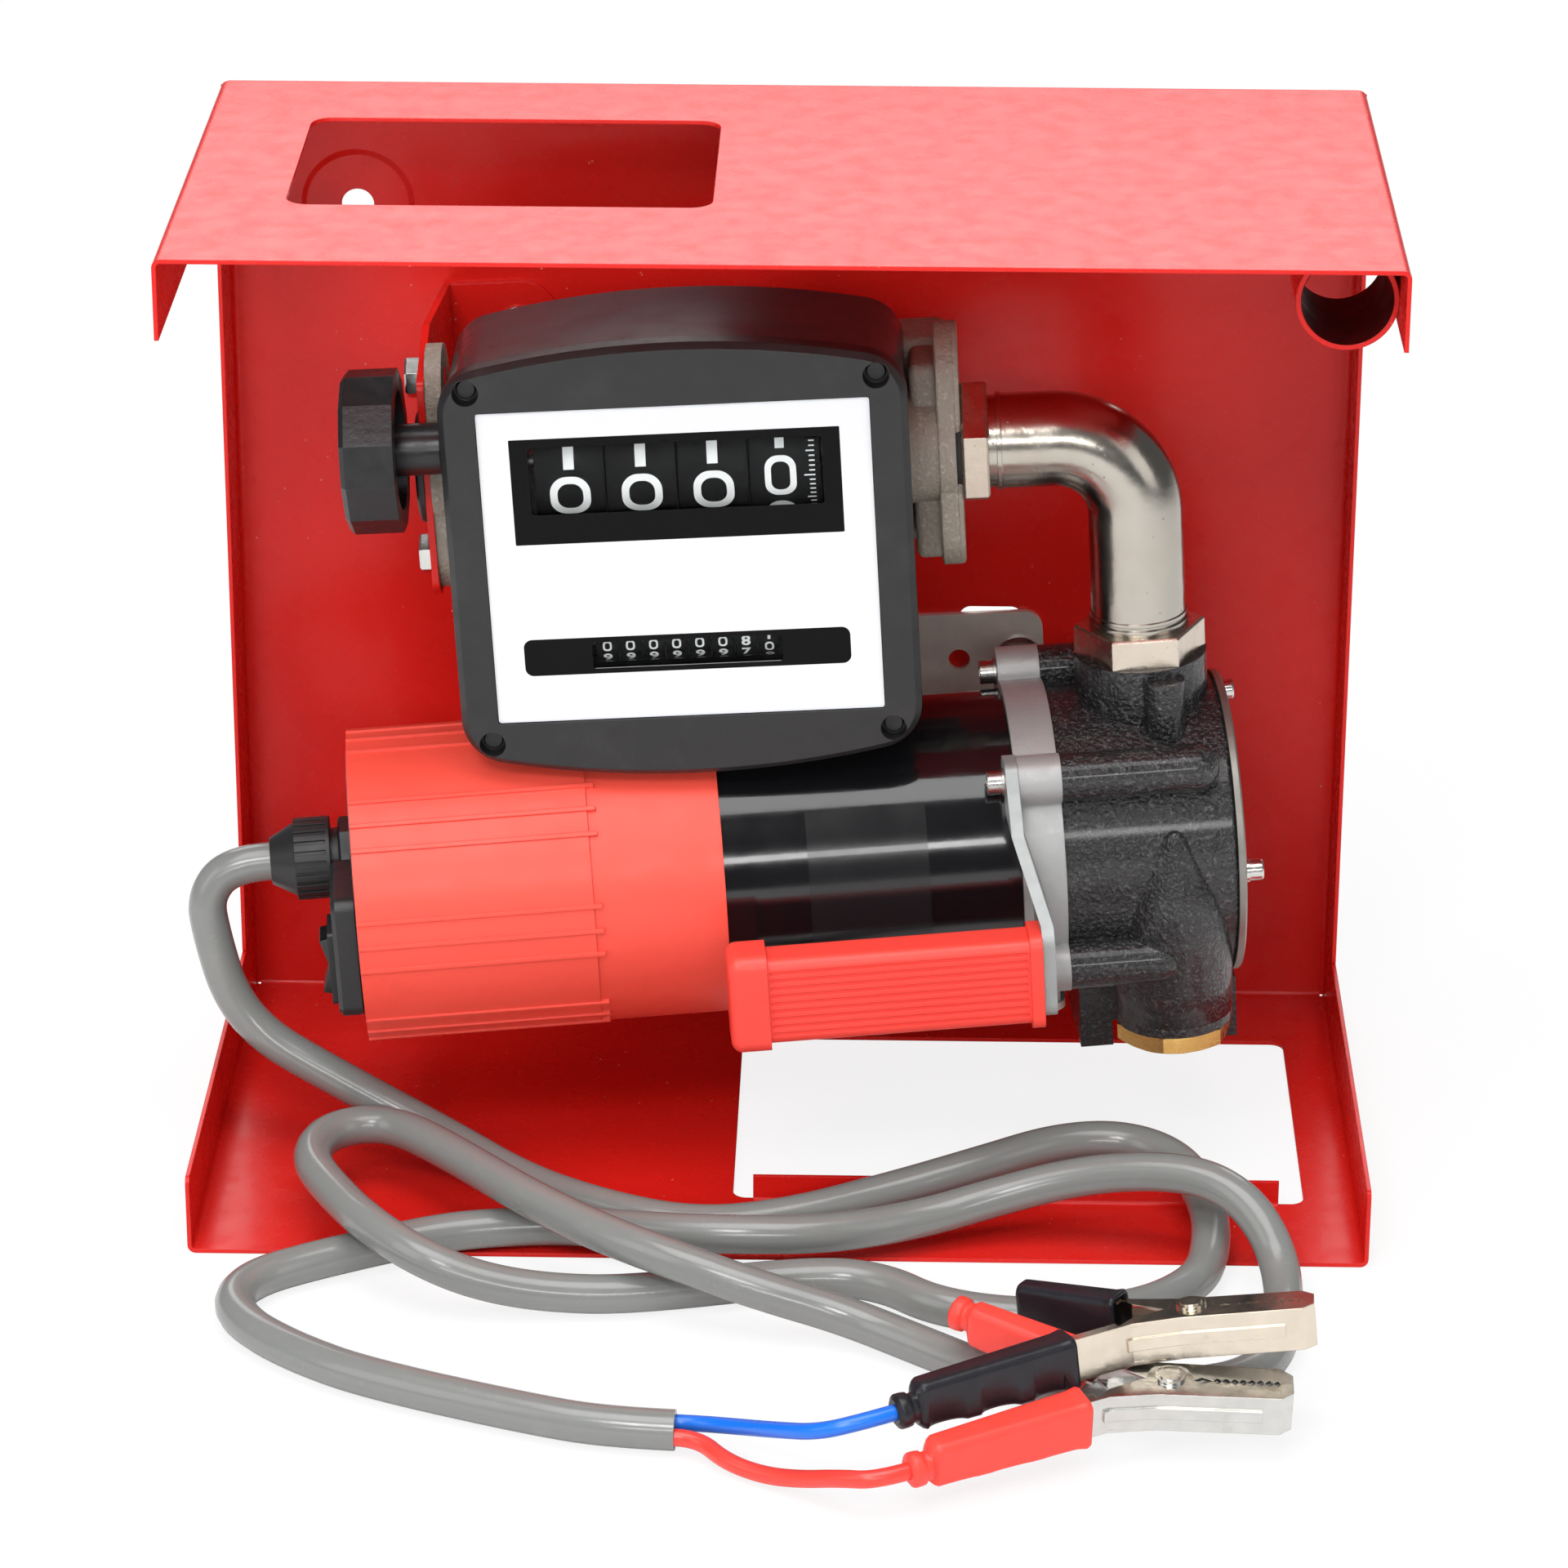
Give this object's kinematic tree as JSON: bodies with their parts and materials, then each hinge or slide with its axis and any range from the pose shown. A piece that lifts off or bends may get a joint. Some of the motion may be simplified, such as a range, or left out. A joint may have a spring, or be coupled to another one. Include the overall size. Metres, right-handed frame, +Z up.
{
  "type": "diesel transfer pump",
  "caption": "Electric vane pump and litre counter hung in an open folded sheet cabinet, with a nozzle holder, carrying handle and loose battery cable with clamps.",
  "frame": {"origin": "on the standing surface, under the middle of the cabinet's box", "axes": "+X to the right seen from the open front, +Y towards the wall side, +Z up"},
  "size_m": [0.4267, 0.4086, 0.367],
  "materials": {
    "sheet_red": "gloss powder coat",
    "zinc": "zinc plated sheet",
    "fasteners": "zinc plated",
    "nickel": "satin nickel plate over a casting",
    "seal": "matt",
    "meter_cast": "die casting, slightly tarnished",
    "plug": "moulded",
    "knob": "moulded, lightly worn",
    "pump_cast": "grained black paint over a casting",
    "cover": "plain turned steel",
    "brass": "machined",
    "rotor": "sintered",
    "vanes": "moulded acetal",
    "poppet": "machined",
    "spring_steel": "drawn wire",
    "aluminium": "cast",
    "can": "gloss black",
    "magnets": "ferrite",
    "armature": "laminated core on a ground shaft",
    "bearings": "ground",
    "black_plastic": "moulded",
    "sleeve": "soft moulded, semi-matt",
    "rocker": "moulded",
    "grip_red": "dipped vinyl",
    "grip_black": "dipped vinyl",
    "meter_hood": "gloss moulded",
    "meter_bezel": "fine grained",
    "face": "plain light face",
    "windows": "clear",
    "axles": "drawn",
    "wheels_black": "moulded, plain numbers",
    "cable_grey": "extruded sheath",
    "lead_blue": "extruded insulation",
    "lead_red": "extruded insulation",
    "jaw_zinc": "zinc plated pressing"
  },
  "bodies": {
    "cabinet": {"cabinet_shell": "sheet_red", "nozzle_holder": "sheet_red", "meter_bracket": "sheet_red", "pump_bracket": "zinc", "handle_bracket": "zinc", "panel_fasteners": "fasteners", "meter_mount_bolts": "fasteners", "flange_screws": "fasteners", "cover_screws": "fasteners", "outlet_nut": "nickel", "outlet_elbow": "nickel", "meter_nut": "nickel", "flange_seal": "seal", "meter_body": "meter_cast", "outlet_plug": "plug", "pump_body": "pump_cast", "pump_cover": "cover", "inlet_bush": "brass", "bypass_plug": "brass", "black_spring": "spring_steel", "red_spring": "spring_steel", "motor_flange": "aluminium", "motor_can": "can", "motor_magnets": "magnets", "shaft_bearings": "bearings", "motor_end_cap": "black_plastic", "switch_box": "black_plastic", "gland_body": "black_plastic", "gland_nut": "black_plastic", "motor_sleeve": "sleeve", "handle_grip": "grip_red", "red_grip_fixed": "grip_red", "black_grip_fixed": "grip_black", "counter_case": "meter_hood", "counter_bezel": "meter_bezel", "face_plate": "face", "face_windows": "windows", "counter_shafts": "axles", "total_wheels": "wheels_black", "cable": "cable_grey", "lead_blue": "lead_blue", "lead_red": "lead_red", "red_jaw_fixed": "jaw_zinc", "black_jaw_fixed": "jaw_zinc"},
    "knob": {"reset_knob": "knob"},
    "spindle": {"motor_armature": "armature", "pump_rotor": "rotor", "rotor_vanes": "vanes"},
    "poppet": {"bypass_poppet": "poppet", "bypass_spring": "spring_steel"},
    "rocker": {"switch_rocker": "rocker"},
    "units": {"wheel_units": "wheels_black"},
    "tens": {"wheel_tens": "wheels_black"},
    "hundreds": {"wheel_hundreds": "wheels_black"},
    "thousands": {"wheel_thousands": "wheels_black"},
    "total_units": {"total_wheel_units": "wheels_black"},
    "black_lever": {"black_jaw_moving": "jaw_zinc", "black_grip_moving": "grip_black"},
    "red_lever": {"red_jaw_moving": "jaw_zinc", "red_grip_moving": "grip_red"}
  },
  "joints": [
    {"name": "reset_turn", "type": "hinge", "parent": "cabinet", "child": "knob", "pos_m": [-0.14377, -0.02675, 0.27264], "axis": [0.9983, 0, 0.0576], "continuous": true},
    {"name": "spindle_turn", "type": "hinge", "parent": "cabinet", "child": "spindle", "pos_m": [0.1275, 0.00325, 0.1195], "axis": [0.9945, 0.0872, 0.0573], "continuous": true},
    {"name": "bypass_lift", "type": "slide", "parent": "cabinet", "child": "poppet", "axis": [-0.087, 0.9962, -0.005], "range_m": [0, 0.003], "stiffness_N_per_m": 1500, "springref_m": -0.004},
    {"name": "rocker_tip", "type": "hinge", "parent": "cabinet", "child": "rocker", "pos_m": [-0.15993, -0.05213, 0.0879], "axis": [-0.087, 0.9962, -0.005], "range_deg": [-12, 12]},
    {"name": "units_turn", "type": "hinge", "parent": "cabinet", "child": "units", "pos_m": [-0.03691, -0.01725, 0.26948], "axis": [0.9983, 0, 0.0576], "continuous": true},
    {"name": "tens_turn", "type": "hinge", "parent": "cabinet", "child": "tens", "pos_m": [-0.03691, -0.01725, 0.26948], "axis": [0.9983, 0, 0.0576], "continuous": true},
    {"name": "hundreds_turn", "type": "hinge", "parent": "cabinet", "child": "hundreds", "pos_m": [-0.03691, -0.01725, 0.26948], "axis": [0.9983, 0, 0.0576], "continuous": true},
    {"name": "thousands_turn", "type": "hinge", "parent": "cabinet", "child": "thousands", "pos_m": [-0.03691, -0.01725, 0.26948], "axis": [0.9983, 0, 0.0576], "continuous": true},
    {"name": "total_turn", "type": "hinge", "parent": "cabinet", "child": "total_units", "pos_m": [-0.03334, -0.03625, 0.20769], "axis": [0.9983, 0, 0.0576], "continuous": true},
    {"name": "black_clamp_open", "type": "hinge", "parent": "cabinet", "child": "black_lever", "pos_m": [0.1417, -0.228, 0.0375], "axis": [-0.1132, 0.0866, 0.9898], "range_deg": [0, 8], "stiffness_Nm_per_rad": 1.2, "springref_deg": -20.05},
    {"name": "red_clamp_open", "type": "hinge", "parent": "cabinet", "child": "red_lever", "pos_m": [0.1335, -0.2445, 0.0202], "axis": [0.0175, -0.1564, 0.9875], "range_deg": [0, 8], "stiffness_Nm_per_rad": 1.2, "springref_deg": -20.05}
  ],
  "couplings": [
    {"joint": "tens_turn", "follows": "units_turn", "ratio": 0.1},
    {"joint": "hundreds_turn", "follows": "units_turn", "ratio": 0.01},
    {"joint": "thousands_turn", "follows": "units_turn", "ratio": 0.001},
    {"joint": "total_turn", "follows": "units_turn", "ratio": 1}
  ]
}
